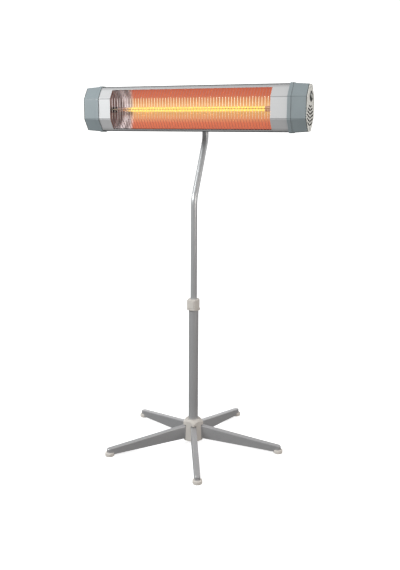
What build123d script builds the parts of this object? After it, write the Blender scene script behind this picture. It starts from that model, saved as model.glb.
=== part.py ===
from build123d import *
import os
from math import cos, radians, sin

# Free-standing infrared patio heater: a long faceted quartz heater head, tilting on a bent
# telescopic mast that stands in a five-legged base.
# Millimetres. +Z is up, the head faces -Y and its control end is at +X. The origin is the
# point of the floor under the mast's axis.

os.makedirs("parts", exist_ok=True)

# ---------------------------------------------------------------- driving dimensions
FIT = 0.05              # radial running clearance
GAP = 0.1               # clearance between neighbouring fixed pieces
SHEET = 1.6             # wall of the folded aluminium housing

# Base
LEG_COUNT = 5
FIRST_LEG_ANGLE = 27.5  # degrees, from -Y towards +X
LEG_WIDTH = 22.0
LEG_WALL = 1.5
LEG_ROOT = 26.0         # radius of the leg's inner end
LEG_TIP = 347.0         # radius of the centre of the leg's rounded tip
LEG_TOP_ROOT, LEG_TOP_TIP = 83.0, 30.0
LEG_LOW_ROOT, LEG_LOW_TIP = 29.5, 5.2
FOOT_RADIUS = 18.0
FOOT_HEIGHT = 14.0
FOOT_FLOOR = 5.0
HUB_LOW, HUB_TOP = 20.0, 106.0
HUB_CORNER_RADIUS = 46.0
HUB_BEVEL_RADIUS = 29.0  # inner edge of the hub's 45 degree bevel
HUB_WALL = 4.0
HUB_ROOF = 86.0         # underside of the hub's solid top
SLEEVE_RADIUS = 23.0
LEG_BOLT_CIRCLE = 33.0

# Telescopic mast
LOWER_RADIUS = 19.0
TUBE_WALL = 1.5
LOWER_FOOT, LOWER_TOP = 26.0, 590.0
COLLAR_LOW, COLLAR_TOP = 558.0, 601.0
COLLAR_RADIUS = 23.0
BUTTON_SIZE = 26.0
BUTTON_Z = (COLLAR_LOW + COLLAR_TOP) / 2 + 1
COLLAR_SCREW_Z = COLLAR_LOW + 20
UPPER_RADIUS = 12.5
UPPER_FOOT = 360.0
BEND_LOW, BEND_HIGH = 988.0, 1208.0
BEND_RADIUS = 90.0
PIVOT_Y, PIVOT_Z = 100.0, 1320.0
UPPER_TOP = PIVOT_Z - 20.0
PIVOT_BOLT_RADIUS = 4.0
PIVOT_BOLT_END = 38.0
EYE_HALF = 16.0         # half width and radius of the mast's eye

# Heater head
HEAD_Z = 1319.5         # height of the head's middle
HALF_LENGTH = 444.0     # to the rim of the end plates
PLATE_FACE = HALF_LENGTH - 1.0
CAP_START = 375.0       # inner edge of each end cap
BODY_END = 386.0        # the housing reaches this far into each cap
HALF_HEIGHT = 82.5
FRONT_Y, REAR_Y = -61.0, 30.0
FACET_HALF = 38.5       # half height of the upright front facet
REAR_HALF = 34.0
SPLIT_Y = -35.3         # seam between the front bezel and the rear housing
WINDOW_LEFT, WINDOW_RIGHT = -325.0, 314.0
WINDOW_LOW, WINDOW_HIGH = -74.5, 70.0
HEAD_MID_Y = (FRONT_Y + REAR_Y) / 2

# Tilt bracket on the housing's back
BRACKET_SCREWS = [(x, z) for x in (-42, 42) for z in (-12, 12)]
PLATE_FRONT = REAR_Y + 0.2
PLATE_BACK = PLATE_FRONT + 2.5
EAR_INNER, EAR_OUTER = 17.6, 20.1

# Lamp, reflector and guard
LAMP_Y, LAMP_Z = -30.0, HEAD_Z - 2.3
LAMP_RADIUS = 8.0
LAMP_LEFT, LAMP_RIGHT = -311.0, 288.0     # inner faces of the ceramic ends
CERAMIC_LEFT, CERAMIC_RIGHT = -352.0, 340.0
CERAMIC_RADIUS = 10.0
CLIP_LEFT, CLIP_RIGHT = -342.0, 330.0
SOCKET_DEPTH = 8.0
FILAMENT_LEFT, FILAMENT_RIGHT = -287.0, 273.0
TROUGH = [(-35.5, 70), (-14, 48), (-2, 20), (-2, -20), (-14, -48), (-35.5, -72)]
TROUGH_LEFT, TROUGH_RIGHT = WINDOW_LEFT - 3, WINDOW_RIGHT + 3
WIRE_COUNT = 56
WIRE_RADIUS = 1.1
RAIL_RADIUS = 1.5
RAIL_TOP = (-34.8, 73.5)
RAIL_LOW = (-32.6, -77.0)

# End caps and control
CAP_TAPER_START, CAP_END = 388.0, PLATE_FACE - 2.6
CAP_FACTOR = 0.97       # scale of the head's section at the cap's outer end
PLATE_SCREW_Z = 68.0
VENT_RADIUS, VENT_DROP = 37.0, 25.5
VENT_COUNT, VENT_PITCH, VENT_WIDTH = 6, 12.4, 6.2
VENT_SLOPE = 0.34       # rise of each arm of the V over its run
VENT_TOP = 6.0          # height of the top slot's point above the head's middle
KNOB_Y, KNOB_Z = -9.0, HEAD_Z + 38.5
KNOB_RADIUS = 17.5
KNOB_TURN = -26         # degrees, slope of the grip bar at rest
SHAFT_RADIUS = 3.0
OUTSIDE = HALF_LENGTH + 10  # beyond the head's end
GLAND_X, GLAND_Z = 412.0, HEAD_Z - 20.0
GLAND_SEAT = REAR_Y - 0.8   # flat seat for the gland in the cap's rear wall
GLAND_THREAD = 6.8
CORD_BORE = 4.0


# ---------------------------------------------------------------- helpers
def save(node, shape):
    """Write one piece under its node name."""
    export_step(shape, "parts/" + node + ".step")


def rod(start, end, radius):
    """Round bar between two points."""
    axis = Vector(*end) - Vector(*start)
    return Solid.make_cylinder(radius, axis.length, Plane(origin=start, z_dir=axis))


def block(x_range, y_range, z_range):
    """Box between the given limits."""
    size = [high - low for low, high in (x_range, y_range, z_range)]
    middle = [(high + low) / 2 for low, high in (x_range, y_range, z_range)]
    return Pos(*middle) * Box(*size)


def ring(low, high, outer, inner):
    """Upright tube on the mast's axis."""
    return rod((0, 0, low), (0, 0, high), outer) - rod((0, 0, low - 1), (0, 0, high + 1), inner)


def side_profile(points, x_low, x_high):
    """Solid whose outline is given as (y, z) and which runs from x_low to x_high."""
    outline = make_face(Polyline(*points, close=True))
    return Pos(x_low, 0, 0) * extrude(Plane.YZ * outline, x_high - x_low)


def spun(angle, shape):
    """Turn a piece made along +X to a leg's direction, counted from -Y towards +X."""
    return Rot(0, 0, angle - 90) * shape


def leg_angles():
    return [FIRST_LEG_ANGLE + index * 360 / LEG_COUNT for index in range(LEG_COUNT)]


# ---------------------------------------------------------------- base
def leg_line(root_value, tip_value, radius):
    """Height of a leg's sloping edge at a distance from the mast's axis."""
    tip_end = LEG_TIP + LEG_WIDTH / 2
    share = (radius - LEG_ROOT) / (tip_end - LEG_ROOT)
    return root_value + share * (tip_value - root_value)


def leg_solid(inset):
    """Tapered bar with a round tip; inset shrinks it on every side but the underside."""
    half = LEG_WIDTH / 2 - inset
    plan = Pos((LEG_ROOT + LEG_TIP) / 2, 0) * Rectangle(LEG_TIP - LEG_ROOT, 2 * half)
    plan = plan + Pos(LEG_TIP, 0) * Circle(half)
    tip_end = LEG_TIP + LEG_WIDTH / 2
    drop = 30 * min(inset, 1)
    side = make_face(Polyline(
        (LEG_ROOT, LEG_LOW_ROOT - drop),
        (tip_end, LEG_LOW_TIP - drop),
        (tip_end, LEG_TOP_TIP - inset),
        (LEG_ROOT, LEG_TOP_ROOT - inset),
        close=True,
    ))
    side = Pos(0, half + 1, 0) * extrude(Plane.XZ * side, 2 * half + 2)
    return side & (Pos(0, 0, -40) * extrude(plan, 140))


def leg_channel():
    """Pressed steel leg: a closed top and sides, open below, with its bolt hole."""
    outer = leg_solid(0)
    top = outer.faces().sort_by(Axis.Z)[-1]
    outer = fillet(top.edges().filter_by(lambda edge: edge.length > LEG_WIDTH + 1), 3.5)
    bolt_hole = rod((LEG_BOLT_CIRCLE, 0, 60), (LEG_BOLT_CIRCLE, 0, 100), 2.8)
    return outer - leg_solid(LEG_WALL) - bolt_hole


def foot_cap():
    """Moulded cup under a leg's tip."""
    cup = Pos(LEG_TIP, 0, 0) * Cylinder(
        FOOT_RADIUS, FOOT_HEIGHT, align=(Align.CENTER, Align.CENTER, Align.MIN))
    cup = fillet(cup.edges().group_by(Axis.Z)[0], 2.5)
    cup = fillet(cup.edges().group_by(Axis.Z)[-1], 1.5)
    half = LEG_WIDTH / 2 + GAP
    pocket = Pos(LEG_TIP, 0) * Circle(half)
    pocket = pocket + Pos(LEG_TIP - 25, 0) * Rectangle(50, 2 * half)
    return cup - Pos(0, 0, FOOT_FLOOR) * extrude(pocket, FOOT_HEIGHT)


def hub_prism(shrink, low, high):
    """Five-sided block with rounded corners that point along the legs."""
    plan = RegularPolygon(HUB_CORNER_RADIUS, LEG_COUNT, rotation=FIRST_LEG_ANGLE - 90)
    plan = fillet(plan.vertices(), 9)
    if shrink:
        plan = offset(plan, -shrink)
    return Pos(0, 0, low) * extrude(plan, high - low, taper=2)


def hub():
    bevel = Pos(0, 0, HUB_LOW) * Cone(
        HUB_BEVEL_RADIUS + HUB_TOP - HUB_LOW, HUB_BEVEL_RADIUS, HUB_TOP - HUB_LOW,
        align=(Align.CENTER, Align.CENTER, Align.MIN))
    shell = hub_prism(0, HUB_LOW, HUB_TOP) & bevel
    shell = shell - hub_prism(HUB_WALL, HUB_LOW - 0.01, HUB_ROOF)
    shell = shell + ring(LOWER_FOOT, HUB_ROOF + 2, SLEEVE_RADIUS, LOWER_RADIUS + FIT)
    shell = shell - rod((0, 0, HUB_LOW), (0, 0, HUB_TOP + 1), LOWER_RADIUS + FIT)
    slot_half = LEG_WIDTH / 2 + 2 * GAP
    for angle in leg_angles():
        slot = block((LEG_ROOT - 1, 70), (-slot_half, slot_half), (HUB_LOW - 1, HUB_ROOF - 1))
        bolt_hole = rod((LEG_BOLT_CIRCLE, 0, 80), (LEG_BOLT_CIRCLE, 0, 94), 2.5 + FIT)
        shell = shell - spun(angle, slot) - spun(angle, bolt_hole)
    return shell


def hub_base_cover():
    """Bottom plate whose pads press the legs into the hub."""
    plate = hub_prism(HUB_WALL + 2 * GAP, HUB_LOW, HUB_LOW + 3)
    plate = plate + rod((0, 0, HUB_LOW), (0, 0, LOWER_FOOT - GAP), SLEEVE_RADIUS)
    pad_top = leg_line(LEG_LOW_ROOT, LEG_LOW_TIP, 38) - GAP
    for angle in leg_angles():
        plate = plate + spun(angle, block((27, 38), (-9, 9), (HUB_LOW, pad_top)))
    for angle in leg_angles():
        plate = plate - spun(angle, rod((LEG_BOLT_CIRCLE, 0, 15), (LEG_BOLT_CIRCLE, 0, 40), 2.6))
    return plate - rod((0, 0, 15), (0, 0, 30), 4.2)


def hex_head(radius, low, height):
    return Pos(0, 0, low) * extrude(RegularPolygon(radius, 6), height)


def leg_bolt():
    bolt = rod((0, 0, HUB_LOW - 0.5), (0, 0, 92), 2.5) + hex_head(4.6, HUB_LOW - 3, 3)
    return Pos(LEG_BOLT_CIRCLE, 0, 0) * bolt


# ---------------------------------------------------------------- telescopic mast
def height_collar():
    """Moulded collar on the lower tube's top, with a boss for the release button."""
    body = rod((0, 0, COLLAR_LOW), (0, 0, COLLAR_TOP), COLLAR_RADIUS)
    body = fillet(body.edges().group_by(Axis.Z)[-1], 3)
    body = body + rod((0, 0, COLLAR_LOW), (0, 0, COLLAR_LOW + 6), COLLAR_RADIUS + 2)
    boss = block((-18, 18), (-27, 0), (COLLAR_LOW + 2, COLLAR_TOP - 1))
    boss = fillet(boss.edges().filter_by(Axis.Z), 4)
    boss = fillet(boss.edges().group_by(Axis.Z)[-1], 2)
    body = body + boss
    body = body - rod((0, 0, COLLAR_LOW - 1), (0, 0, COLLAR_TOP - 7), LOWER_RADIUS + FIT)
    body = body - rod((0, 0, COLLAR_LOW), (0, 0, COLLAR_TOP + 1), UPPER_RADIUS + 0.7)
    reach = BUTTON_SIZE / 2 + 0.4
    body = body - block((-reach, reach), (-30, -21), (BUTTON_Z - reach, BUTTON_Z + reach))
    return body - rod((0, LOWER_RADIUS, COLLAR_SCREW_Z), (0, 30, COLLAR_SCREW_Z), 2.1)


def collar_button():
    """Square press button, hollow behind for its spring."""
    half = BUTTON_SIZE / 2
    pad = block((-half, half), (-28.5, -24.2), (BUTTON_Z - half, BUTTON_Z + half))
    pad = fillet(pad.edges().filter_by(Axis.Y), 2.5)
    pad = fillet(pad.edges().group_by(Axis.Y)[0], 0.8)
    return pad - rod((0, -26.5, BUTTON_Z), (0, -20, BUTTON_Z), 5.5)


def button_spring():
    """Flat coil spring between the collar and the button."""
    coil = Helix(pitch=1.7, height=4.6, radius=4.2)
    wire = sweep(Plane(origin=coil @ 0, z_dir=coil % 0) * Circle(0.4), path=coil)
    return Pos(0, -26.0, BUTTON_Z) * Rot(-90, 0, 0) * wire


def collar_screw():
    shank = rod((0, LOWER_RADIUS + 0.2, COLLAR_SCREW_Z), (0, 25, COLLAR_SCREW_Z), 2.0)
    head = rod((0, COLLAR_RADIUS, COLLAR_SCREW_Z), (0, COLLAR_RADIUS + 2.5, COLLAR_SCREW_Z), 3.8)
    return shank + head


def mast_bush():
    """Flanged nylon bush in the lower tube's mouth: the mast slides in it and turns with it."""
    outer = LOWER_RADIUS - TUBE_WALL - FIT
    bush = rod((0, 0, COLLAR_LOW + 4), (0, 0, LOWER_TOP + 1), outer)
    bush = bush + rod((0, 0, LOWER_TOP + 0.3), (0, 0, LOWER_TOP + 3.5), LOWER_RADIUS - 0.4)
    return bush - rod((0, 0, 500), (0, 0, 700), UPPER_RADIUS + FIT)


def mast_tube():
    """Upper tube, bent back so that its top stands behind the head."""
    path = FilletPolyline(
        (0, 0, UPPER_FOOT),
        (0, 0, BEND_LOW),
        (0, PIVOT_Y, BEND_HIGH),
        (0, PIVOT_Y, UPPER_TOP),
        radius=BEND_RADIUS,
    )
    section = Circle(UPPER_RADIUS) - Circle(UPPER_RADIUS - TUBE_WALL)
    return sweep(Plane(origin=(0, 0, UPPER_FOOT)) * section, path=path)


def mast_guide():
    """Plug in the mast's lower end, with a skirt that keeps it central in the lower tube."""
    plug = rod((0, 0, UPPER_FOOT), (0, 0, UPPER_FOOT + 16), UPPER_RADIUS - TUBE_WALL - GAP)
    skirt = rod((0, 0, UPPER_FOOT - 12), (0, 0, UPPER_FOOT - GAP), LOWER_RADIUS - TUBE_WALL - 0.3)
    return plug + skirt + rod((0, 0, UPPER_FOOT - 1), (0, 0, UPPER_FOOT + 1), 8)


def pivot_rod(x_low, x_high, radius):
    """Round bar on the tilt axis."""
    return rod((x_low, PIVOT_Y, PIVOT_Z), (x_high, PIVOT_Y, PIVOT_Z), radius)


def mast_head():
    """Cast eye that plugs into the mast and carries the tilt bolt."""
    eye = block((-EYE_HALF, EYE_HALF), (PIVOT_Y - EYE_HALF, PIVOT_Y + EYE_HALF),
                (UPPER_TOP + GAP, PIVOT_Z))
    eye = eye + pivot_rod(-EYE_HALF, EYE_HALF, EYE_HALF)
    plug_radius = UPPER_RADIUS - TUBE_WALL - GAP
    plug = rod((0, PIVOT_Y, UPPER_TOP - 28), (0, PIVOT_Y, UPPER_TOP + 2), plug_radius)
    return eye + plug - pivot_rod(-20, 20, PIVOT_BOLT_RADIUS + FIT)


# ---------------------------------------------------------------- tilt bracket
def head_bracket():
    """Steel plate on the housing's back with two ears around the mast's eye."""
    plate = block((-55, 55), (PLATE_FRONT, PLATE_BACK), (PIVOT_Z - 20, PIVOT_Z + 20))
    plate = fillet(plate.edges().filter_by(Axis.Y), 6)
    outline = [(PLATE_FRONT, PIVOT_Z - 20), (PIVOT_Y, PIVOT_Z - 14),
               (PIVOT_Y, PIVOT_Z + 14), (PLATE_FRONT, PIVOT_Z + 20)]
    for low, high in ((EAR_INNER, EAR_OUTER), (-EAR_OUTER, -EAR_INNER)):
        plate = plate + side_profile(outline, low, high)
        plate = plate + pivot_rod(low, high, 14)
    plate = plate - pivot_rod(-30, 30, PIVOT_BOLT_RADIUS + FIT)
    for x, z in BRACKET_SCREWS:
        plate = plate - rod((x, 25, PIVOT_Z + z), (x, 40, PIVOT_Z + z), 2.1)
    return plate


def bracket_screw(x, z):
    shank = rod((x, REAR_Y - 7, PIVOT_Z + z), (x, PLATE_BACK + 1, PIVOT_Z + z), 2.0)
    head = rod((x, PLATE_BACK, PIVOT_Z + z), (x, PLATE_BACK + 2.6, PIVOT_Z + z), 4.0)
    return shank + fillet(head.edges().group_by(Axis.Y)[-1], 1.2)


def bracket_nut(x, z):
    top = REAR_Y - SHEET - GAP
    nut = extrude(RegularPolygon(4.0, 6), 3.2) - Cylinder(2.0 + FIT, 10)
    return Pos(x, top, PIVOT_Z + z) * Rot(90, 0, 0) * nut


def pivot_bolt():
    shank = pivot_rod(-EAR_OUTER - 2, PIVOT_BOLT_END, PIVOT_BOLT_RADIUS)
    hexagon = extrude(RegularPolygon(7.5, 6), 4.9)
    return shank + Pos(-EAR_OUTER - 5, PIVOT_Y, PIVOT_Z) * Rot(0, 90, 0) * hexagon


def friction_washer(side):
    low, high = sorted((side * (EYE_HALF + GAP), side * (EAR_INNER - GAP)))
    return pivot_rod(low, high, 13) - pivot_rod(low - 1, high + 1, PIVOT_BOLT_RADIUS + 0.2)


def tilt_knob():
    """Lobed hand knob that clamps the tilt."""
    start = EAR_OUTER + 0.4
    knob = pivot_rod(start, start + 8, 9)
    grip = pivot_rod(start + 6, start + 22, 17)
    grip = fillet(grip.edges().group_by(Axis.X)[-1], 2.5)
    for index in range(6):
        angle = radians(60 * index)
        y = PIVOT_Y + 21 * cos(angle)
        z = PIVOT_Z + 21 * sin(angle)
        grip = grip - rod((start, y, z), (start + 30, y, z), 7)
    return knob + grip - pivot_rod(start - 1, PIVOT_BOLT_END + 0.5, PIVOT_BOLT_RADIUS + FIT)


# ---------------------------------------------------------------- housing of the head
def head_outline():
    """Eight-sided section of the head about its middle, as a filleted face in (y, z)."""
    front_edge, rear_top = -33 - HEAD_MID_Y, -2 - HEAD_MID_Y
    front, rear = FRONT_Y - HEAD_MID_Y, REAR_Y - HEAD_MID_Y
    corners = [
        (front_edge, HALF_HEIGHT), (front, FACET_HALF), (front, -FACET_HALF),
        (front_edge, -HALF_HEIGHT), (rear_top, -HALF_HEIGHT), (rear, -REAR_HALF),
        (rear, REAR_HALF), (rear_top, HALF_HEIGHT),
    ]
    face = make_face(Polyline(*corners, close=True))
    rear_corners = face.vertices().filter_by(lambda v: v.X > rear_top - 1)
    face = fillet(rear_corners, 14)
    edge_corners = face.vertices().filter_by(lambda v: abs(v.X - front_edge) < 0.1)
    face = fillet(edge_corners, 7)
    facet_corners = face.vertices().filter_by(lambda v: abs(v.X - front) < 0.1)
    return fillet(facet_corners, 4)


def section_at(x, grow=0, factor=1):
    """The head's section placed at x, grown by an offset and scaled."""
    face = head_outline()
    if grow:
        face = offset(face, grow)
    face = scale(face, factor)
    return Plane(origin=(x, HEAD_MID_Y, HEAD_Z), x_dir=(0, 1, 0), z_dir=(1, 0, 0)) * face


def prism(x_low, x_high, grow=0, factor=1):
    return extrude(section_at(x_low, grow, factor), x_high - x_low)


def housing_sheet():
    return prism(-BODY_END, BODY_END) - prism(-BODY_END - 1, BODY_END + 1, -SHEET)


def far_box(y_low, y_high):
    return block((-500, 500), (y_low, y_high), (HEAD_Z - 200, HEAD_Z + 200))


def front_bezel():
    """Folded front with three facets and the long window."""
    front = housing_sheet() & far_box(-200, SPLIT_Y)
    window = block((WINDOW_LEFT, WINDOW_RIGHT), (-100, SPLIT_Y + 1),
                   (HEAD_Z + WINDOW_LOW, HEAD_Z + WINDOW_HIGH))
    return front - window


def rear_housing():
    """Back shell with two rows of cooling slots and the bracket's screw holes."""
    shell = housing_sheet() & far_box(SPLIT_Y + 0.3, 200)
    for column in range(15):
        x = -315 + 45 * column
        for z in (47, 56, -50, -59):
            shell = shell - block((x - 15, x + 15), (6, 60), (HEAD_Z + z, HEAD_Z + z + 3.5))
    for x, z in BRACKET_SCREWS:
        shell = shell - rod((x, 20, PIVOT_Z + z), (x, 40, PIVOT_Z + z), 2.1)
    return shell


# ---------------------------------------------------------------- lamp, reflector and guard
def trough_outline(shift):
    return [(y + shift, HEAD_Z + z) for y, z in TROUGH]


def reflector():
    """Polished trough behind the lamp, open to the window."""
    outer = side_profile(trough_outline(1.0), TROUGH_LEFT, TROUGH_RIGHT)
    inner = side_profile(trough_outline(0.0), TROUGH_LEFT - 1, TROUGH_RIGHT + 1)
    return outer - inner - far_box(-200, -35)


def reflector_end(x):
    """End wall of the trough, reaching forward to the guard."""
    front = [(-57.5, HEAD_Z - FACET_HALF + 1), (-57.5, HEAD_Z + FACET_HALF - 1)]
    plate = side_profile(trough_outline(0.8) + front, x, x + 1)
    return plate - rod((x - 1, LAMP_Y, LAMP_Z), (x + 2, LAMP_Y, LAMP_Z), CERAMIC_RADIUS + 0.5)


def lamp_rod(x_low, x_high, radius):
    return rod((x_low, LAMP_Y, LAMP_Z), (x_high, LAMP_Y, LAMP_Z), radius)


def lamp_core(radius):
    """Round bar as long as the quartz tube."""
    reach = SOCKET_DEPTH - 2 * GAP
    return lamp_rod(LAMP_LEFT - reach, LAMP_RIGHT + reach, radius)


def quartz_tube():
    return lamp_core(LAMP_RADIUS) - lamp_rod(-400, 400, LAMP_RADIUS - 1)


def filament():
    """Glowing coil's envelope on its two lead rods."""
    return lamp_core(0.6) + lamp_rod(FILAMENT_LEFT, FILAMENT_RIGHT, 4.0)


def lamp_cap(inner_end, outer_end):
    """Ceramic end of the lamp, with the socket for the quartz tube."""
    toward = 1 if inner_end > outer_end else -1
    low, high = sorted((inner_end, outer_end))
    pocket_low, pocket_high = sorted((inner_end - toward * SOCKET_DEPTH, inner_end + toward))
    return lamp_rod(low, high, CERAMIC_RADIUS) - lamp_rod(pocket_low, pocket_high, LAMP_RADIUS + GAP)


def lamp_clip(x):
    """Spring clip that holds a ceramic end to the housing's back."""
    ring_outer = CERAMIC_RADIUS + 1.1
    clip = lamp_rod(x - 5, x + 5, ring_outer)
    clip = clip + block((x - 5, x + 5), (LAMP_Y + 8, REAR_Y - SHEET - 1.2), (LAMP_Z - 4, LAMP_Z + 4))
    clip = clip + block((x - 5, x + 5), (REAR_Y - SHEET - 1.3, REAR_Y - SHEET - GAP),
                        (LAMP_Z - 16, LAMP_Z + 16))
    clip = clip - lamp_rod(x - 6, x + 6, CERAMIC_RADIUS + FIT)
    return clip - block((x - 6, x + 6), (LAMP_Y - 20, LAMP_Y - 6), (LAMP_Z - 5, LAMP_Z + 5))


def guard_grille():
    """Upright wires bent over the three facets, welded to long rails."""
    inset = SHEET + GAP + WIRE_RADIUS
    depth = FRONT_Y + inset
    corners = [RAIL_TOP, (depth, FACET_HALF - 0.5), (depth, 0.5 - FACET_HALF), RAIL_LOW]
    span = WINDOW_RIGHT - WINDOW_LEFT
    pitch = span / (WIRE_COUNT + 0.5)
    first = WINDOW_LEFT + 0.75 * pitch
    points = [(first, y, HEAD_Z + z) for y, z in corners]
    path = FilletPolyline(*points, radius=5)
    start = Plane(origin=path @ 0, z_dir=path % 0)
    wire = sweep(start * Circle(WIRE_RADIUS), path=path)
    wires = [Pos(pitch * index, 0, 0) * wire for index in range(WIRE_COUNT)]
    rails = [
        rod((TROUGH_LEFT, y, HEAD_Z + z), (TROUGH_RIGHT, y, HEAD_Z + z), RAIL_RADIUS)
        for y, z in (RAIL_TOP, RAIL_LOW)
    ]
    middle_y = depth + WIRE_RADIUS + 0.7
    rails.append(rod((TROUGH_LEFT, middle_y, LAMP_Z), (TROUGH_RIGHT, middle_y, LAMP_Z), WIRE_RADIUS))
    return Part() + rails + wires


# ---------------------------------------------------------------- end caps
def end_cap():
    """Moulded cap for the +X end: a bead that grips the housing, then a tapering hood."""
    hood = loft([section_at(CAP_TAPER_START - 1, 1.0), section_at(CAP_END, 0, CAP_FACTOR)])
    inner = loft([section_at(BODY_END + 0.5, -1.6), section_at(CAP_END + 1, -2.6, CAP_FACTOR)])
    bead = fillet(prism(CAP_START, CAP_TAPER_START, 3.0).edges().filter_by(
        lambda edge: abs(edge.center().X - CAP_START) < 0.1
        or abs(edge.center().X - CAP_TAPER_START) < 0.1), 1.2)
    cap = bead + hood - inner - prism(CAP_START - 1, BODY_END + 0.6, GAP)
    for side in (-1, 1):
        low, high = sorted((side * (PLATE_SCREW_Z - 5), side * (PLATE_SCREW_Z + 14)))
        post = block((402, CAP_END), (HEAD_MID_Y - 5, HEAD_MID_Y + 5), (HEAD_Z + low, HEAD_Z + high))
        cap = cap + (post & hood)
        z = HEAD_Z + side * PLATE_SCREW_Z
        cap = cap - rod((400, HEAD_MID_Y, z), (OUTSIDE, HEAD_MID_Y, z), 1.8 + FIT)
    return cap


def vent_slots():
    """V-shaped slots stacked in a round field in the lower half of an end plate."""
    x_low, x_high = PLATE_FACE - 12, PLATE_FACE + 6
    middle_z = HEAD_Z - VENT_DROP
    field = rod((x_low, HEAD_MID_Y, middle_z), (x_high, HEAD_MID_Y, middle_z), VENT_RADIUS)
    reach = VENT_RADIUS + 3
    rise = reach * VENT_SLOPE
    cuts = Part()
    for index in range(VENT_COUNT):
        z = HEAD_Z + VENT_TOP - VENT_PITCH * index
        vee = [(-reach, z + rise), (-reach, z + rise - VENT_WIDTH), (0, z - VENT_WIDTH),
               (reach, z + rise - VENT_WIDTH), (reach, z + rise), (0, z)]
        cuts = cuts + side_profile([(HEAD_MID_Y + y, height) for y, height in vee], x_low, x_high)
    web = block((x_low, x_high), (HEAD_MID_Y - 1.2, HEAD_MID_Y + 1.2), (HEAD_Z - 80, HEAD_Z + 20))
    return (cuts & field) - web


def dial_rod(x_low, x_high, radius):
    """Round bar on the selector's axis."""
    return rod((x_low, KNOB_Y, KNOB_Z), (x_high, KNOB_Y, KNOB_Z), radius)


def end_plate(with_dial):
    """Light end plate with a raised rim; the +X one has a dished seat for the dial."""
    plate = prism(CAP_END + GAP, PLATE_FACE, -0.6, CAP_FACTOR)
    rim = prism(PLATE_FACE - 1, HALF_LENGTH, -0.6, CAP_FACTOR)
    rim = rim - prism(PLATE_FACE - 2, HALF_LENGTH + 1, -3.8, CAP_FACTOR)
    plate = plate + rim - vent_slots()
    for side in (-1, 1):
        z = HEAD_Z + side * PLATE_SCREW_Z
        plate = plate - rod((PLATE_FACE - 9, HEAD_MID_Y, z), (OUTSIDE, HEAD_MID_Y, z), 2.0)
        plate = plate - rod((PLATE_FACE - 1.4, HEAD_MID_Y, z), (OUTSIDE, HEAD_MID_Y, z), 3.7)
    if with_dial:
        plate = plate + dial_rod(PLATE_FACE - 8.5, PLATE_FACE, KNOB_RADIUS + 3)
        plate = plate - dial_rod(PLATE_FACE - 6.5, OUTSIDE, KNOB_RADIUS + 1)
        plate = plate - dial_rod(PLATE_FACE - 14, OUTSIDE, SHAFT_RADIUS + 0.6)
    return plate


def end_screw(side):
    """Countersunk end-plate screw on the +X end."""
    z = HEAD_Z + side * PLATE_SCREW_Z
    shank = rod((PLATE_FACE - 31, HEAD_MID_Y, z), (PLATE_FACE - 0.5, HEAD_MID_Y, z), 1.8)
    head = rod((PLATE_FACE - 1.3, HEAD_MID_Y, z), (PLATE_FACE + 0.9, HEAD_MID_Y, z), 3.5)
    slot = block((PLATE_FACE + 0.2, OUTSIDE), (HEAD_MID_Y - 4, HEAD_MID_Y + 4), (z - 0.4, z + 0.4))
    return shank + head - slot


def left_end(shape):
    """The same piece at the other end of the head."""
    return mirror(shape, Plane.YZ)


# ---------------------------------------------------------------- control and wiring
def selector_knob():
    disc = dial_rod(PLATE_FACE - 6, PLATE_FACE - 1, KNOB_RADIUS)
    disc = fillet(disc.edges().group_by(Axis.X)[-1], 1.0)
    grip = block((PLATE_FACE - 1.5, PLATE_FACE + 3), (1 - KNOB_RADIUS, KNOB_RADIUS - 1), (-4, 4))
    grip = fillet(grip.edges().filter_by(Axis.X), 3)
    grip = Pos(0, KNOB_Y, KNOB_Z) * Rot(KNOB_TURN, 0, 0) * grip
    return disc + grip - dial_rod(PLATE_FACE - 9, PLATE_FACE - 2, SHAFT_RADIUS)


def switch_shaft():
    return dial_rod(PLATE_FACE - 30, PLATE_FACE - 2.1, SHAFT_RADIUS)


def rotary_switch():
    back, front = PLATE_FACE - 33, PLATE_FACE - 13
    body = block((back, front), (KNOB_Y - 15, KNOB_Y + 15), (KNOB_Z - 15, KNOB_Z + 15))
    body = body + dial_rod(front, PLATE_FACE - 8.8, 5)
    body = body - dial_rod(back + 2, OUTSIDE, SHAFT_RADIUS + FIT)
    for y in (KNOB_Y - 8, KNOB_Y, KNOB_Y + 8):
        body = body + block((back - 7, back), (y - 2.4, y + 2.4), (KNOB_Z + 4, KNOB_Z + 5))
    return body


def terminal_block():
    body = block((392, 402), (-6, 10), (HEAD_Z - 50, HEAD_Z - 14))
    for z in (-43, -32, -21):
        body = body - rod((392, -10, HEAD_Z + z), (392, 20, HEAD_Z + z), 3)
    return body


def tip_over_switch():
    """Sealed tilt switch on a bracket in the cap at -X."""
    case = block((-425, -403), (-24, 2), (HEAD_Z - 15, HEAD_Z + 17))
    case = fillet(case.edges().filter_by(Axis.Z), 2)
    return case + block((-403, -401), (-10, 20), (HEAD_Z - 15, HEAD_Z + 17))


def internal_wires():
    """Insulated leads from the terminals to both lamp ends, and one to the switch."""
    long_lead = FilletPolyline(
        (391, 6, HEAD_Z - 46), (375, 6, HEAD_Z - 46), (350, 19, HEAD_Z - 43),
        (-370, 19, HEAD_Z - 43), (-370, LAMP_Y, LAMP_Z), (CERAMIC_LEFT - GAP, LAMP_Y, LAMP_Z),
        radius=8)
    short_lead = FilletPolyline(
        (391, 6, HEAD_Z - 27), (366, 6, HEAD_Z - 27), (366, LAMP_Y, LAMP_Z),
        (CERAMIC_RIGHT + GAP, LAMP_Y, LAMP_Z),
        radius=8)
    leads = []
    for path in (long_lead, short_lead):
        start = Plane(origin=path @ 0, z_dir=path % 0)
        leads.append(sweep(start * Circle(1.4), path=path))
    return leads


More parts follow.
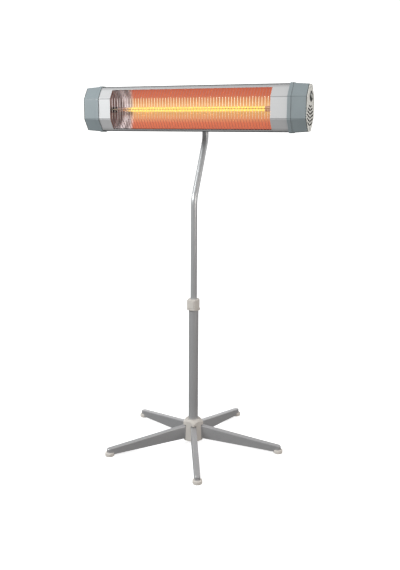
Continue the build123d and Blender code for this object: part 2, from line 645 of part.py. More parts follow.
def cable_gland():
    """Gland for the mains lead, in the rear wall of the control end."""
    centre = (GLAND_X, 0, GLAND_Z)
    wall = GLAND_SEAT + GAP
    thread = Pos(centre) * Rot(-90, 0, 0) * Pos(0, 0, wall - 11) * Cylinder(
        GLAND_THREAD, 12, align=(Align.CENTER, Align.CENTER, Align.MIN))
    flange = Pos(centre) * Rot(-90, 0, 0) * Pos(0, 0, wall) * extrude(RegularPolygon(10, 6), 5)
    dome = Pos(centre) * Rot(-90, 0, 0) * Pos(0, 0, wall + 5) * Cone(
        9, 6.5, 9, align=(Align.CENTER, Align.CENTER, Align.MIN))
    return thread + flange + dome - rod((GLAND_X, 0, GLAND_Z), (GLAND_X, 60, GLAND_Z), CORD_BORE)


def gland_locknut():
    nut = extrude(RegularPolygon(10, 6), 4) - Cylinder(GLAND_THREAD + FIT, 20)
    return Pos(GLAND_X, REAR_Y - 8.5, GLAND_Z) * Rot(-90, 0, 0) * nut


# ---------------------------------------------------------------- write every piece
def write_base():
    save("hub", hub())
    save("hub_base_cover", hub_base_cover())
    channel, cup, bolt = leg_channel(), foot_cap(), leg_bolt()
    for index, angle in enumerate(leg_angles(), start=1):
        save("leg_" + str(index), spun(angle, channel))
        save("foot_cap_" + str(index), spun(angle, cup))
    save("leg_bolts", Compound(children=[spun(angle, bolt) for angle in leg_angles()]))
    plug = rod((0, 0, LOWER_FOOT), (0, 0, 56), LOWER_RADIUS - TUBE_WALL - GAP)
    save("tube_foot_plug", plug - rod((0, 0, 20), (0, 0, 52), 4 + FIT))
    save("centre_bolt", rod((0, 0, HUB_LOW - 1), (0, 0, 50), 4.0) + hex_head(8, HUB_LOW - 5.1, 5))
    save("lower_tube", ring(LOWER_FOOT, LOWER_TOP, LOWER_RADIUS, LOWER_RADIUS - TUBE_WALL))
    save("height_collar", height_collar())
    save("collar_screw", collar_screw())
    save("collar_button", collar_button())
    save("button_spring", button_spring())


def write_mast():
    save("mast_bush", mast_bush())
    save("mast_tube", mast_tube())
    save("mast_guide", mast_guide())
    save("mast_head", mast_head())
    save("head_bracket", head_bracket())
    save("bracket_screws", Compound(children=[bracket_screw(x, z) for x, z in BRACKET_SCREWS]))
    save("bracket_nuts", Compound(children=[bracket_nut(x, z) for x, z in BRACKET_SCREWS]))
    save("pivot_bolt", pivot_bolt())
    save("friction_washers", Compound(children=[friction_washer(side) for side in (-1, 1)]))
    save("tilt_knob", tilt_knob())


def write_head():
    save("front_bezel", front_bezel())
    save("rear_housing", rear_housing())
    save("reflector", reflector())
    save("reflector_end_left", reflector_end(TROUGH_LEFT - 1 - GAP))
    save("reflector_end_right", reflector_end(TROUGH_RIGHT + GAP))
    save("quartz_tube", quartz_tube())
    save("filament", filament())
    save("lamp_cap_left", lamp_cap(LAMP_LEFT, CERAMIC_LEFT))
    save("lamp_cap_right", lamp_cap(LAMP_RIGHT, CERAMIC_RIGHT))
    save("lamp_clip_left", lamp_clip(CLIP_LEFT))
    save("lamp_clip_right", lamp_clip(CLIP_RIGHT))
    save("guard_grille", guard_grille())


def write_ends():
    cap = end_cap()
    gland_hole = rod((GLAND_X, 10, GLAND_Z), (GLAND_X, 50, GLAND_Z), GLAND_THREAD + 0.2)
    gland_hole = gland_hole + rod((GLAND_X, GLAND_SEAT, GLAND_Z), (GLAND_X, 50, GLAND_Z), 11.5)
    save("end_cap_right", cap - gland_hole)
    save("end_cap_left", left_end(cap))
    save("end_plate_right", end_plate(True))
    save("end_plate_left", left_end(end_plate(False)))
    screws = [end_screw(side) for side in (-1, 1)]
    save("end_plate_screws", Compound(children=screws + [left_end(screw) for screw in screws]))
    save("selector_knob", selector_knob())
    save("switch_shaft", switch_shaft())
    save("rotary_switch", rotary_switch())
    save("terminal_block", terminal_block())
    save("tip_over_switch", tip_over_switch())
    save("internal_wires", Compound(children=internal_wires()))
    save("cable_gland", cable_gland())
    save("gland_locknut", gland_locknut())


write_base()
write_mast()
write_head()
write_ends()
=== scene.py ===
import math

import bmesh
import bpy
from mathutils import Matrix, Vector


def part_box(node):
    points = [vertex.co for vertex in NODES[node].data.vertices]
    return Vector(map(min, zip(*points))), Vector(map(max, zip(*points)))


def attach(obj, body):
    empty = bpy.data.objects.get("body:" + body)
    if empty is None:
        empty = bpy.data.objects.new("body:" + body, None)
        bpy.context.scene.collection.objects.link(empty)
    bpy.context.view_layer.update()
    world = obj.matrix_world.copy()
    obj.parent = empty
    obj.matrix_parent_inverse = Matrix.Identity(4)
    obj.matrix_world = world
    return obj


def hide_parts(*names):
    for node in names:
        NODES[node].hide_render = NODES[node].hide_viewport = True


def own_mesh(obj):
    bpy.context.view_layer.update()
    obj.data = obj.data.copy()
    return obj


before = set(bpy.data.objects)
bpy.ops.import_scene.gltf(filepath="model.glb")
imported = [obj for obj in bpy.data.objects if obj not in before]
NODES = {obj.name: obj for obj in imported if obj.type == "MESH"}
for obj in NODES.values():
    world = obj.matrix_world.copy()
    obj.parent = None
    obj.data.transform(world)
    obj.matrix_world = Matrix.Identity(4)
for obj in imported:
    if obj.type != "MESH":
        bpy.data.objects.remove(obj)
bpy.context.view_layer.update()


# ---------------------------------------------------------------- places read from the frame
def corners(node):
    """Lowest and highest corners of a CAD node's box."""
    low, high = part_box(node)
    return Vector(low), Vector(high)


def middle(node):
    """Centre of a CAD node's box."""
    low, high = corners(node)
    return (low + high) / 2


BEZEL_LOW, BEZEL_HIGH = corners("front_bezel")
HEAD_MID_Z = (BEZEL_LOW.z + BEZEL_HIGH.z) / 2
HALF_HEIGHT = (BEZEL_HIGH.z - BEZEL_LOW.z) / 2
PLATE_RIM = 0.001                       # the end plates' rim stands this far out of their face
PLATE_FACE = corners("end_plate_right")[1].x - PLATE_RIM
TROUGH_RIGHT = corners("reflector")[1].x
LAMP = middle("quartz_tube")
FILAMENT_LOW, FILAMENT_HIGH = corners("filament")

# Housing and control. Lengths are in metres, here and below, except the camera's lens.
LINE_OFFSET = 0.467 * HALF_HEIGHT       # from the head's middle to each line pressed in its front
LINE_HALF = (0.0008, 0.0024)            # half width of a line, with its soft edge
LINE_DEPTH = 0.02                       # a line reaches this far back from the foremost point
EDGE_SHADE_START = 0.84 * HALF_HEIGHT         # painted shade: the front darkens from here to its top and bottom edges
PLATE_SKIN = (0.0009, 0.0002)           # painted shade inside an end plate gives way to its light colour between these depths
GRIP_FOOT = (0.0007, 0.0003)            # and the dial's grip bar between these

# The lamp's heated stretch, and the lamp light painted on the trough and guard
GLOW_LEFT = LAMP.x - 0.250              # where the painted reflection of the lamp on the trough starts
GLOW_LEAN = 0.4                         # the glow's edge lies this much further left per unit of depth
COIL_LEFT, COIL_RIGHT = LAMP.x - 0.2755, LAMP.x + 0.2845
COIL_RADIUS, COIL_TURNS, COIL_WIRE = 0.0036, 90, 0.0007
BAND_WAVE = (163.0, 4.74)               # bands in the cold end's sheen: radians per metre, and phase
WARM_UP = 0.08                          # from the filament's left end to its full glow
SHINE_FROM = (0.007, 0.010)             # the guard's bars start to shine this far above the lamp
SHINE_TO = (0.037, 0.041)               # and stop here, where they bend back
RAIL_HALF = (0.0012, 0.0018)            # half height of the guard's middle rail, with its soft edge

# The release button's spring
SPRING_TURNS, SPRING_WIRE = 3, 0.0004

IVORY = (0.70, 0.655, 0.605)
MAST_GREY = (0.56, 0.565, 0.57)
LEG_GREY = (0.56, 0.555, 0.56)
BLUE_GREY = (0.285, 0.328, 0.342)
PLATE_GREY = (0.78, 0.775, 0.725)
SHEET_GREY = (0.64, 0.635, 0.635)
SHELL_GREY = (0.16, 0.165, 0.17)
ZINC = (0.62, 0.62, 0.60)
NYLON = (0.72, 0.72, 0.68)
MOULDED_BLACK = (0.018, 0.02, 0.02)
RUBBER_BLACK = (0.03, 0.03, 0.03)
LEAD_RED = (0.45, 0.12, 0.04)
OFF = (0.0, 0.0, 0.0)
WHITE = (1.0, 1.0, 1.0)

# Floor, backdrop and camera
FLOOR_REACH = 60.0
FLOOR_NEAR, FLOOR_FAR = 0.8, 6.0        # the floor brightens between these distances
DOME_RADIUS, DOME_DROP = 58.0, 1.0
CAMERA_PLACE = (1.15057, -2.47843, 1.2464)
CAMERA_AZIMUTH, CAMERA_PITCH, CAMERA_ROLL = 24.564, 12.199, 0.315     # degrees
CAMERA_LENS, CAMERA_SHIFT = 45.53, 0.0036       # millimetres, and a share of the picture's width


# ---------------------------------------------------------------- node materials
def feed(tree, socket, source):
    """Links a source to an input, or sets the input to a number, vector or colour."""
    if isinstance(source, bpy.types.NodeSocket):
        tree.links.new(source, socket)
    elif source is not None:
        is_plain_colour = socket.type == "RGBA" and len(source) == 3
        socket.default_value = (*source, 1.0) if is_plain_colour else source


def map_range(tree, *sources, smooth=False):
    """Maps a value; sources are value, from low, from high, to low and to high."""
    made = tree.nodes.new("ShaderNodeMapRange")
    made.interpolation_type = "SMOOTHSTEP" if smooth else "LINEAR"
    for index, source in enumerate(sources):
        feed(tree, made.inputs[index], source)
    return made.outputs[0]


class Paint:
    """One procedural material around a Principled shader, in the object's own coordinates."""

    def __init__(self, name):
        self.material = bpy.data.materials.new(name)
        self.material.use_nodes = True
        self.tree = self.material.node_tree
        self.shader = self.tree.nodes["Principled BSDF"]
        coordinates = self.tree.nodes.new("ShaderNodeTexCoord")
        self.place = coordinates.outputs["Object"]
        self.facing = coordinates.outputs["Normal"]

    def put(self, **values):
        """Sets the shader's own sockets: Roughness=0.4, Base_Color=(r, g, b)."""
        for name, value in values.items():
            feed(self.tree, self.shader.inputs[name.replace("_", " ")], value)

    def link(self, source, name):
        """Links a source to one of the shader's sockets."""
        self.tree.links.new(source, self.shader.inputs[name.replace("_", " ")])

    def node(self, kind, *sources, **settings):
        """A new node; sources feed its inputs in order, and None leaves one alone."""
        made = self.tree.nodes.new("ShaderNode" + kind)
        for name, value in settings.items():
            setattr(made, name, value)
        for index, source in enumerate(sources):
            feed(self.tree, made.inputs[index], source)
        return made

    def math(self, operation, *sources):
        return self.node("Math", *sources, operation=operation).outputs[0]

    def axis(self, name):
        """One coordinate of the point, in the object's own axes."""
        return self.node("SeparateXYZ", self.place).outputs[name]

    def surface(self, name):
        """One component of the surface's normal, in the object's own axes."""
        return self.node("SeparateXYZ", self.facing).outputs[name]

    def away_from(self, value, mark):
        """How far a value is from a mark on the same scale."""
        return self.math("ABSOLUTE", self.math("SUBTRACT", value, mark))

    def noise(self, scale, detail=3.0, stretch=(1, 1, 1)):
        """Noise with scale waves per metre, squeezed along each axis by stretch."""
        place = self.place
        if stretch != (1, 1, 1):
            place = self.node("Mapping", self.place, None, None, stretch).outputs[0]
        made = self.node("TexNoise", place)
        made.inputs["Scale"].default_value = scale
        made.inputs["Detail"].default_value = detail
        made.inputs["Roughness"].default_value = 0.55
        return made.outputs[0]

    def spark_texture(self):
        """The fine texture that a mould leaves."""
        return self.noise(2400, 2.0)

    def between(self, value, low, high, from_low=0.0, from_high=1.0, smooth=False):
        """Maps a value onto low to high."""
        return map_range(self.tree, value, from_low, from_high, low, high, smooth=smooth)

    def ramp(self, value, *stops):
        """Colour ramp; each stop is (position, (r, g, b))."""
        made = self.node("ValToRGB", value)
        points = made.color_ramp.elements
        while len(points) < len(stops):
            points.new(0.5)
        for point, (position, colour) in zip(points, stops):
            point.position = position
            point.color = (*colour, 1.0)
        return made.outputs[0]

    def mottle(self, value, colour, dark, light, low=0.3, high=0.7):
        """The colour, drifting between a darker and a lighter shade with the value."""
        return self.ramp(value, (low, shade(colour, dark)), (high, shade(colour, light)))

    def mix(self, share, first, second, blend="MIX"):
        """Blends two colours; a Mix node keeps its colour sockets at 6, 7 and, going out, 2."""
        made = self.tree.nodes.new("ShaderNodeMix")
        made.data_type = "RGBA"
        made.blend_type = blend
        for index, source in ((0, share), (6, first), (7, second)):
            feed(self.tree, made.inputs[index], source)
        return made.outputs[2]

    def bump(self, height, distance):
        """Adds relief; distance is its depth in metres."""
        made = self.tree.nodes.new("ShaderNodeBump")
        made.inputs["Strength"].default_value = 1.0
        made.inputs["Distance"].default_value = distance
        self.tree.links.new(height, made.inputs["Height"])
        self.link(made.outputs[0], "Normal")
        return self


def shade(colour, factor):
    """The colour made lighter or darker, never over 1."""
    return tuple(min(1.0, channel * factor) for channel in colour)


def dress(material, *nodes):
    """Gives CAD nodes one material."""
    for node in nodes:
        slots = NODES[node].data.materials
        slots.clear()
        slots.append(material)


def numbered(stem, count=5):
    return [f"{stem}_{index}" for index in range(1, count + 1)]


# ---------------------------------------------------------------- stand, mast and small parts
def moulded_plastic(name, colour, rough=0.42, grain=0.00004, variation=0.06):
    """Injection-moulded plastic: fine texture, faint flow mottling and uneven gloss."""
    paint = Paint(name)
    flow = paint.noise(14, 4.0)
    paint.link(paint.mottle(flow, colour, 1 - variation, 1 + variation), "Base_Color")
    paint.link(paint.between(paint.noise(45), rough - 0.06, rough + 0.08), "Roughness")
    paint.put(Specular_IOR_Level=0.45)
    return paint.bump(paint.spark_texture(), grain).material


def metallic_paint(name, colour, rough=0.36, metallic=0.55):
    """Sprayed metallic paint: flake sparkle, slow clouding and orange peel."""
    paint = Paint(name)
    flake = paint.noise(5200, 1.0)
    cloud = paint.noise(7, 3.0)
    tint = paint.mottle(cloud, colour, 0.94, 1.06, 0.25, 0.75)
    sparkle = paint.mottle(flake, colour, 0.85, 1.18, 0.35, 0.7)
    paint.link(paint.mix(0.45, tint, sparkle), "Base_Color")
    paint.put(Metallic=metallic, Coat_Weight=0.25, Coat_Roughness=0.2)
    paint.link(paint.between(paint.noise(60), rough - 0.05, rough + 0.07), "Roughness")
    return paint.bump(paint.noise(420, 2.0), 0.00006).material


def bare_metal(name, colour, rough, along=(1, 1, 1)):
    """Plated or polished metal with a fine grain, squeezed along each axis by along."""
    paint = Paint(name)
    grain = paint.noise(900, 3.0, along)
    smudge = paint.noise(20, 3.0)
    paint.link(paint.mottle(grain, colour, 0.9, 1.08, 0.2, 0.8), "Base_Color")
    paint.put(Metallic=1.0)
    paint.link(paint.between(smudge, rough - 0.07, rough + 0.1), "Roughness")
    return paint.bump(grain, 0.00002).material


dress(moulded_plastic("ivory_moulding", IVORY), "hub", "hub_base_cover", "height_collar",
      "collar_button")
dress(moulded_plastic("foot_moulding", shade(IVORY, 1.2)), *numbered("foot_cap"))
dress(metallic_paint("leg_paint", LEG_GREY), *numbered("leg"), "lower_tube")
dress(metallic_paint("mast_paint", MAST_GREY, 0.30, 0.5), "mast_tube", "head_bracket", "mast_head")
dress(bare_metal("zinc_plate", ZINC, 0.34), "leg_bolts", "centre_bolt", "collar_screw",
      "bracket_screws", "bracket_nuts", "pivot_bolt", "button_spring", "lamp_clip_left",
      "lamp_clip_right", "end_plate_screws", "switch_shaft")
dress(moulded_plastic("natural_nylon", NYLON, 0.5), "mast_bush", "mast_guide", "tube_foot_plug",
      "terminal_block")
dress(moulded_plastic("black_moulding", MOULDED_BLACK, 0.4, 0.00006, 0.2), "tilt_knob",
      "rotary_switch", "tip_over_switch", "cable_gland", "gland_locknut")
dress(moulded_plastic("washer_rubber", RUBBER_BLACK, 0.75), "friction_washers")
dress(moulded_plastic("lead_insulation", LEAD_RED, 0.5), "internal_wires")


# ---------------------------------------------------------------- housing, caps and control
def height_in_head(paint):
    """Distance above or below the head's middle."""
    return paint.away_from(paint.axis("Z"), HEAD_MID_Z)


def facet_line(paint):
    """1 on the thin lines pressed just inside both edges of the upright front facet, else 0."""
    away = paint.away_from(height_in_head(paint), LINE_OFFSET)
    line = paint.between(away, 1.0, 0.0, *LINE_HALF)
    front = paint.math("LESS_THAN", paint.axis("Y"), BEZEL_LOW.y + LINE_DEPTH)
    return paint.math("MULTIPLY", line, front)


def cap_plastic():
    """Moulded cap: fine spark texture, and the housing's pressed lines carried on, with painted shade in
    them.
    """
    paint = Paint("cap_moulding")
    tint = paint.mottle(paint.noise(11, 4.0), BLUE_GREY, 0.95, 1.05)
    groove = facet_line(paint)
    # Painted shade: the pressed lines are darkened in the colour.
    groove_shade = paint.math("MULTIPLY", groove, 0.35)
    paint.link(paint.mix(groove_shade, tint, shade(BLUE_GREY, 0.3)), "Base_Color")
    paint.put(Specular_IOR_Level=0.4)
    paint.link(paint.between(paint.noise(50), 0.34, 0.48), "Roughness")
    texture = paint.math("MULTIPLY", paint.spark_texture(), 0.15)
    return paint.bump(paint.math("SUBTRACT", texture, groove), 0.0003).material


def housing_aluminium():
    """Satin sheet, brushed lengthwise, with painted shade towards its top and bottom edges and in its
    pressed lines.
    """
    paint = Paint("bezel_aluminium")
    brush = paint.noise(260, 4.0, (0.04, 6, 6))
    clouds = paint.mottle(paint.noise(5, 3.0), SHEET_GREY, 0.95, 1.04)
    brushed = paint.mottle(brush, SHEET_GREY, 0.93, 1.05)
    # Painted shade towards the head's top and bottom edges.
    edge_shade = paint.between(height_in_head(paint), 0.0, 0.5, EDGE_SHADE_START, HALF_HEIGHT, smooth=True)
    sheet = paint.mix(edge_shade, paint.mix(0.5, clouds, brushed), shade(SHEET_GREY, 0.35))
    groove = facet_line(paint)
    # Painted shade: the pressed lines are darkened in the colour.
    groove_shade = paint.math("MULTIPLY", groove, 0.55)
    paint.link(paint.mix(groove_shade, sheet, (0.12, 0.12, 0.13)), "Base_Color")
    paint.put(Metallic=0.3)
    paint.link(paint.between(brush, 0.52, 0.68), "Roughness")
    texture = paint.math("MULTIPLY", brush, 0.1)
    return paint.bump(paint.math("SUBTRACT", texture, groove), 0.0004).material


def plate_plastic():
    """End plate: light outside, with painted shade on the interior seen through its slots and dial seat."""
    paint = Paint("plate_moulding")
    tint = paint.mottle(paint.noise(16, 4.0), PLATE_GREY, 0.95, 1.05)
    reach = paint.math("ABSOLUTE", paint.axis("X"))
    skin_inner, skin_outer = (PLATE_FACE - depth for depth in PLATE_SKIN)
    outside = paint.between(reach, 0.0, 1.0, skin_inner, skin_outer)
    # Painted shade: faces set back from the plate's face are near-black.
    paint.link(paint.mix(outside, (0.015, 0.015, 0.015), tint), "Base_Color")
    paint.put(Specular_IOR_Level=0.35)
    paint.link(paint.between(paint.noise(50), 0.38, 0.5), "Roughness")
    return paint.bump(paint.spark_texture(), 0.00004).material


def dial_plastic():
    """Black dial with a light grip bar that stands above its face."""
    paint = Paint("dial_moulding")
    foot_inner, foot_outer = (PLATE_FACE - depth for depth in GRIP_FOOT)
    bar = paint.between(paint.axis("X"), 0.0, 1.0, foot_inner, foot_outer)
    grain = paint.noise(30, 3.0)
    dark = paint.ramp(grain, (0.3, (0.014, 0.018, 0.017)), (0.7, (0.024, 0.03, 0.028)))
    light = paint.ramp(grain, (0.3, (0.40, 0.42, 0.40)), (0.7, (0.48, 0.50, 0.47)))
    paint.link(paint.mix(bar, dark, light), "Base_Color")
    paint.link(paint.between(paint.noise(60), 0.35, 0.5), "Roughness")
    return paint.bump(paint.noise(1900, 2.0), 0.00005).material


dress(cap_plastic(), "end_cap_left", "end_cap_right")
dress(plate_plastic(), "end_plate_left", "end_plate_right")
dress(dial_plastic(), "selector_knob")
dress(housing_aluminium(), "front_bezel")
# The shell's dark grey is partly its paint and partly painted shade for the head's lower edge.
dress(metallic_paint("housing_paint", SHELL_GREY, 0.4, 0.5), "rear_housing")


# ---------------------------------------------------------------- lamp, reflector, guard
def lengthwise_glow(paint, soft, start=0.0):
    """0 at the lamp's cold left end and 1 from where the filament lights the trough."""
    edge = GLOW_LEFT + start
    lean = paint.math("MULTIPLY_ADD", paint.axis("Y"), GLOW_LEAN, paint.axis("X"))
    return paint.between(lean, 0.0, 1.0, edge - soft, edge + soft, smooth=True)


def height_from_lamp(paint):
    """0 at the lamp's height and 1 near the head's edge."""
    return paint.math("DIVIDE", paint.away_from(paint.axis("Z"), LAMP.z), HALF_HEIGHT * 0.9)


def reflector_material():
    """Polished trough with the lamp's reflection painted on its inner side as a glow, and none behind."""
    paint = Paint("reflector_polish")
    lamp_reflection = paint.ramp(height_from_lamp(paint), (0.0, (0.72, 0.50, 0.16)), (0.12, (0.68, 0.44, 0.15)),
                      (0.30, (0.57, 0.32, 0.125)), (0.46, (0.50, 0.22, 0.10)),
                      (0.68, (0.44, 0.10, 0.066)), (1.0, (0.39, 0.078, 0.058)))
    lit = lengthwise_glow(paint, 0.010)
    streak = paint.noise(120, 3.0, (0.05, 3, 3))
    lamp_reflection = paint.mix(paint.between(streak, 0.0, 0.25), lamp_reflection, (0.85, 0.22, 0.07))
    inside = paint.math("LESS_THAN", paint.surface("Y"), 0.0)
    reflection_mask = paint.math("MULTIPLY", lit, inside)
    # Painted reflection: the trough's inner side gives out the lamp's colours as emission.
    paint.link(paint.mix(reflection_mask, OFF, lamp_reflection), "Emission_Color")
    paint.put(Emission_Strength=0.95, Metallic=0.12, Specular_IOR_Level=0.25)
    # Painted sheen: light and dark bands along the cold end's base colour.
    band = paint.math("SINE", paint.math("MULTIPLY_ADD", paint.axis("X"), *BAND_WAVE))
    cold = paint.ramp(paint.between(band, 0.0, 1.0, -1.0, 1.0), (0.25, (0.46, 0.38, 0.385)),
                      (0.75, (0.88, 0.76, 0.77)))
    paint.link(paint.mix(lit, cold, (0.22, 0.08, 0.04)), "Base_Color")
    paint.link(paint.between(streak, 0.38, 0.55), "Roughness")
    return paint.bump(streak, 0.00006).material


def quartz_material():
    """Clear fused quartz with a warm inner glow along the heated length."""
    paint = Paint("fused_quartz")
    lit = lengthwise_glow(paint, 0.022, -0.012)
    paint.link(paint.mix(lit, OFF, (0.62, 0.54, 0.17)), "Emission_Color")
    paint.put(Emission_Strength=0.35, Transmission_Weight=0.9, IOR=1.1)
    paint.link(paint.mix(lit, (0.95, 0.80, 0.76), (1.0, 0.80, 0.45)), "Base_Color")
    paint.link(paint.between(paint.noise(40, 2.0), 0.03, 0.12), "Roughness")
    return paint.bump(paint.noise(90, 2.0), 0.00005).material


def lamp_lit_ceramic():
    """Ceramic socket at the heated end, with the lamp's orange light painted on as far as it stands in the
    trough.
    """
    paint = Paint("lamp_lit_ceramic")
    grain = paint.noise(160, 3.0)
    painted_lamp_light = paint.ramp(grain, (0.3, (0.30, 0.10, 0.06)), (0.7, (0.42, 0.16, 0.09)))
    inside = paint.between(paint.axis("X"), 1.0, 0.0, TROUGH_RIGHT - 0.002, TROUGH_RIGHT)
    # Painted lamp light: the socket gives out orange inside the trough.
    paint.link(paint.mix(inside, OFF, painted_lamp_light), "Emission_Color")
    paint.put(Emission_Strength=0.9)
    paint.link(paint.ramp(grain, (0.3, (0.22, 0.16, 0.14)), (0.7, (0.28, 0.20, 0.18))), "Base_Color")
    paint.link(paint.between(grain, 0.6, 0.8), "Roughness")
    return paint.bump(grain, 0.0001).material


def guard_material():
    """Drawn wire with painted lamp light where it crosses the lit trough, and painted highlights on its
    bars above the lamp.
    """
    paint = Paint("guard_wire")
    lit = lengthwise_glow(paint, 0.012)
    above = paint.math("SUBTRACT", paint.axis("Z"), LAMP.z)
    shining = paint.math("MULTIPLY", paint.between(above, 0.0, 1.0, *SHINE_FROM),
                         paint.between(above, 1.0, 0.0, *SHINE_TO))
    painted_lamp_light = paint.ramp(height_from_lamp(paint), (0.0, (0.56, 0.36, 0.13)), (0.45, (0.50, 0.24, 0.11)),
                      (0.6, (0.42, 0.10, 0.06)), (1.0, (0.36, 0.08, 0.05)))
    # Painted lamp light and painted highlights, given out by the wire as emission.
    lamp_glow = paint.mix(shining, painted_lamp_light, (0.84, 0.70, 0.40))
    unlit_sheen = paint.mix(shining, (0.13, 0.11, 0.115), (0.58, 0.53, 0.54))
    # The middle rail is coloured darker, with painted lamp light where the trough is lit.
    rail = paint.between(paint.math("ABSOLUTE", above), 1.0, 0.0, *RAIL_HALF)
    rail_lamp_light = paint.mix(lit, (0.03, 0.025, 0.025), (0.30, 0.18, 0.04))
    paint.link(paint.mix(rail, paint.mix(lit, unlit_sheen, lamp_glow), rail_lamp_light), "Emission_Color")
    paint.put(Emission_Strength=0.85, Metallic=1.0)
    draw = paint.noise(300, 2.0, (4, 4, 0.2))
    steel = paint.ramp(draw, (0.2, (0.30, 0.28, 0.27)), (0.8, (0.42, 0.39, 0.37)))
    paint.link(paint.mix(rail, steel, (0.12, 0.09, 0.06)), "Base_Color")
    paint.link(paint.between(draw, 0.16, 0.3), "Roughness")
    return paint.bump(draw, 0.00002).material


def filament_material():
    """Glowing tungsten that warms up from its cold left end."""
    paint = Paint("incandescent_wire")
    ripple = paint.noise(60, 2.0)
    lamp_glow = paint.ramp(ripple, (0.3, (0.86, 0.64, 0.17)), (0.7, (0.90, 0.74, 0.28)))
    start = paint.between(paint.axis("X"), 0.0, 1.0, FILAMENT_LOW.x, FILAMENT_LOW.x + WARM_UP)
    along = paint.ramp(start, (0.0, (0.02, 0.005, 0.002)), (0.12, (0.10, 0.02, 0.01)),
                       (0.26, (0.75, 0.26, 0.10)), (1.0, WHITE))
    paint.link(paint.mix(1.0, lamp_glow, along, "MULTIPLY"), "Emission_Color")
    paint.put(Emission_Strength=0.75, Base_Color=(0.4, 0.2, 0.1))
    paint.link(paint.between(ripple, 0.4, 0.6), "Roughness")
    return paint.material


dress(reflector_material(), "reflector")
dress(bare_metal("reflector_end_steel", (0.55, 0.43, 0.41), 0.35, (0.1, 4, 4)),
      "reflector_end_left", "reflector_end_right")
dress(quartz_material(), "quartz_tube")
dress(moulded_plastic("cold_ceramic", (0.05, 0.045, 0.045), 0.7, 0.0001, 0.15), "lamp_cap_left")
dress(lamp_lit_ceramic(), "lamp_cap_right")
dress(guard_material(), "guard_grille")


# ---------------------------------------------------------------- wound wire
def placed(name, data):
    """A new object in the scene for a mesh, curve, light or camera."""
    made = bpy.data.objects.new(name, data)
    bpy.context.collection.objects.link(made)
    return made


def coil_points(start, end, side, radius, turns, steps):
    """Points of a coil from start to end; side is any direction square to its axis."""
    along = (end - start).normalized()
    across = along.cross(side)
    points = []
    for index in range(turns * steps + 1):
        angle = math.tau * index / steps
        centre = start.lerp(end, index / (turns * steps))
        points.append(centre + radius * (side * math.cos(angle) + across * math.sin(angle)))
    return points


def wire(name, points, wire_radius, material):
    """A round wire along the points, as a mesh with closed ends."""
    curve = bpy.data.curves.new(name + "_line", "CURVE")
    curve.dimensions = "3D"
    curve.bevel_depth = wire_radius
    curve.bevel_resolution = 2
    curve.use_fill_caps = True
    spline = curve.splines.new("POLY")
    spline.points.add(len(points) - 1)
    for point, place in zip(spline.points, points):
        point.co = (*place, 1)
    line = placed(name + "_line", curve)
    bpy.context.view_layer.update()
    mesh = bpy.data.meshes.new_from_object(line.evaluated_get(bpy.context.evaluated_depsgraph_get()))
    bpy.data.objects.remove(line)
    for face in mesh.polygons:
        face.use_smooth = True
    mesh.materials.clear()
    mesh.materials.append(material)
    return placed(name, mesh)


def filament_coil():
    """Coiled tungsten along the lamp, with a straight lead at each end."""
    first, last, left_lead, right_lead = (
        Vector((x, LAMP.y, LAMP.z)) for x in (COIL_LEFT, COIL_RIGHT, FILAMENT_LOW.x, FILAMENT_HIGH.x))
    coil = coil_points(first, last, Vector((0, 1, 0)), COIL_RADIUS, COIL_TURNS, steps=12)
    made = wire("filament_coil", [left_lead, *coil, right_lead], COIL_WIRE, filament_material())
    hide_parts("filament")
    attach(made, "head")


def button_coil():
    """Release button's spring, a fixed coil on the base."""
    low, high = corners("button_spring")
    centre = middle("button_spring")
    first = Vector((centre.x, low.y + SPRING_WIRE, centre.z))
    last = Vector((centre.x, high.y - SPRING_WIRE, centre.z))
    radius = (high.x - low.x) / 2 - SPRING_WIRE
    points = coil_points(first, last, Vector((1, 0, 0)), radius, SPRING_TURNS, steps=24)
    made = wire("button_coil", points, SPRING_WIRE, NODES["button_spring"].data.materials[0])
    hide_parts("button_spring")
    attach(made, "base")
    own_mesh(made)


filament_coil()
button_coil()


# ---------------------------------------------------------------- stage, light and camera
def stage_piece(name, build, paint):
    """Turns a bmesh into a painted piece of the stage, which the object isn't lit by."""
    mesh = bpy.data.meshes.new(name)
    build.to_mesh(mesh)
    build.free()
    mesh.materials.append(paint.material)
    made = placed(name, mesh)
    made.visible_diffuse = False
    made.visible_glossy = False
    return made


def stage_floor():
    """Plain white floor that is as bright as the backdrop where they meet."""
    paint = Paint("studio_floor")
    pale = paint.ramp(paint.noise(3), (0.3, (0.93, 0.93, 0.93)), (0.7, (0.95, 0.95, 0.95)))
    paint.link(pale, "Base_Color")
    away = paint.node("VectorMath", paint.place, operation="LENGTH").outputs["Value"]
    paint.link(paint.between(away, 0.72, 1.0, FLOOR_NEAR, FLOOR_FAR, smooth=True), "Emission_Strength")
    paint.put(Roughness=0.9, Emission_Color=WHITE)
    build = bmesh.new()
    bmesh.ops.create_grid(build, x_segments=2, y_segments=2, size=FLOOR_REACH)
    floor = stage_piece("floor", build, paint)


def backdrop_dome(columns=24, rows=8):
    """A white dome far outside the stage, seen by the camera only."""
    paint = Paint("studio_backdrop")
    paint.link(paint.ramp(paint.noise(0.1), (0.3, (0.98, 0.98, 0.98)), (0.7, WHITE)), "Base_Color")
    paint.put(Roughness=1.0, Emission_Color=WHITE, Emission_Strength=1.0)
    build = bmesh.new()
    turns = [math.tau * column / columns for column in range(columns)]
    levels = []
    for row in range(rows):
        lift = math.radians(90.0 * row / rows)
        reach = DOME_RADIUS * math.cos(lift)
        height = DOME_RADIUS * math.sin(lift) - DOME_DROP
        levels.append([build.verts.new((reach * math.cos(turn), reach * math.sin(turn), height))
                       for turn in turns])
    for lower, upper in zip(levels, levels[1:]):
        for column in range(columns):
            after = (column + 1) % columns
            build.faces.new((lower[column], lower[after], upper[after], upper[column]))
    build.faces.new(levels[-1])
    dome = stage_piece("backdrop", build, paint)
    dome.visible_transmission = False
    dome.visible_shadow = False


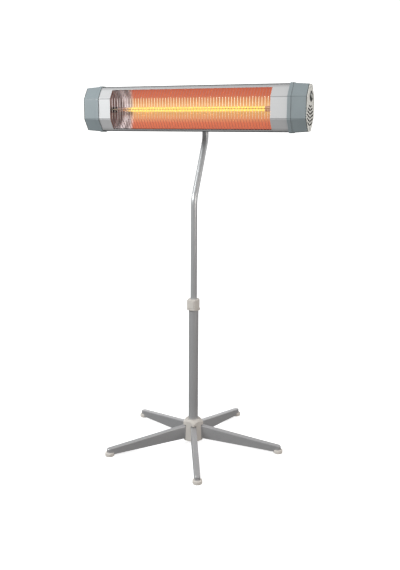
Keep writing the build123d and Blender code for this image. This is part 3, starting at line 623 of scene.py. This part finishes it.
def area_light(name, place, target, size, power, colour):
    """A soft square light that faces its target."""
    data = bpy.data.lights.new(name, "AREA")
    data.shape = "RECTANGLE"
    data.size = size
    data.size_y = size
    data.energy = power
    data.color = colour
    lamp = placed(name, data)
    lamp.location = place
    aim = Vector(target) - Vector(place)
    lamp.rotation_euler = aim.to_track_quat("-Z", "Y").to_euler()


def studio_world(front, back, top, below):
    """A white studio: brightness from front (-Y) to back (+Y), at the ceiling and from below."""
    world = bpy.data.worlds.new("studio_world")
    bpy.context.scene.world = world
    world.use_nodes = True
    tree = world.node_tree
    parts = tree.nodes.new("ShaderNodeSeparateXYZ")
    tree.links.new(tree.nodes.new("ShaderNodeTexCoord").outputs["Generated"], parts.inputs[0])
    walls = map_range(tree, parts.outputs["Y"], -0.4, 0.5, front, back, smooth=True)
    ceiling = map_range(tree, parts.outputs["Z"], 0.18, 0.45, walls, top, smooth=True)
    ground = map_range(tree, parts.outputs["Z"], -0.12, -0.03, below, ceiling)
    background = tree.nodes["Background"]
    feed(tree, background.inputs["Color"], WHITE)
    feed(tree, background.inputs["Strength"], ground)


def photo_camera():
    """Camera at the reference view: right of the front, just below the head's height, looking down."""
    azimuth, pitch, roll = (math.radians(angle) for angle in (CAMERA_AZIMUTH, CAMERA_PITCH, CAMERA_ROLL))
    back = Vector((math.sin(azimuth) * math.cos(pitch), -math.cos(azimuth) * math.cos(pitch),
                   math.sin(pitch)))
    right = Vector((math.cos(azimuth), math.sin(azimuth), 0.0))
    up = back.cross(right)
    rolled_right = right * math.cos(roll) + up * math.sin(roll)
    rolled_up = up * math.cos(roll) - right * math.sin(roll)
    turn = Matrix((rolled_right, rolled_up, back)).transposed().to_4x4()
    data = bpy.data.cameras.new("camera")
    data.sensor_width = 36.0
    data.lens = CAMERA_LENS
    data.shift_x = CAMERA_SHIFT
    data.clip_end = 100
    camera = placed("camera", data)
    camera.matrix_world = Matrix.Translation(CAMERA_PLACE) @ turn
    bpy.context.scene.camera = camera


stage_floor()
backdrop_dome()
studio_world(front=0.45, back=1.0, top=0.45, below=0.18)
area_light("key", (-1.75, -2.4, 2.35), target=(-0.1, 0, 1.1), size=0.9, power=74, colour=(0.95, 0.985, 1.0))
area_light("fill", (2.4, -0.9, 1.3), target=(0.3, 0, 1.1), size=1.2, power=16, colour=(1.0, 0.95, 0.90))
photo_camera()
bpy.context.scene.view_settings.view_transform = "Standard"
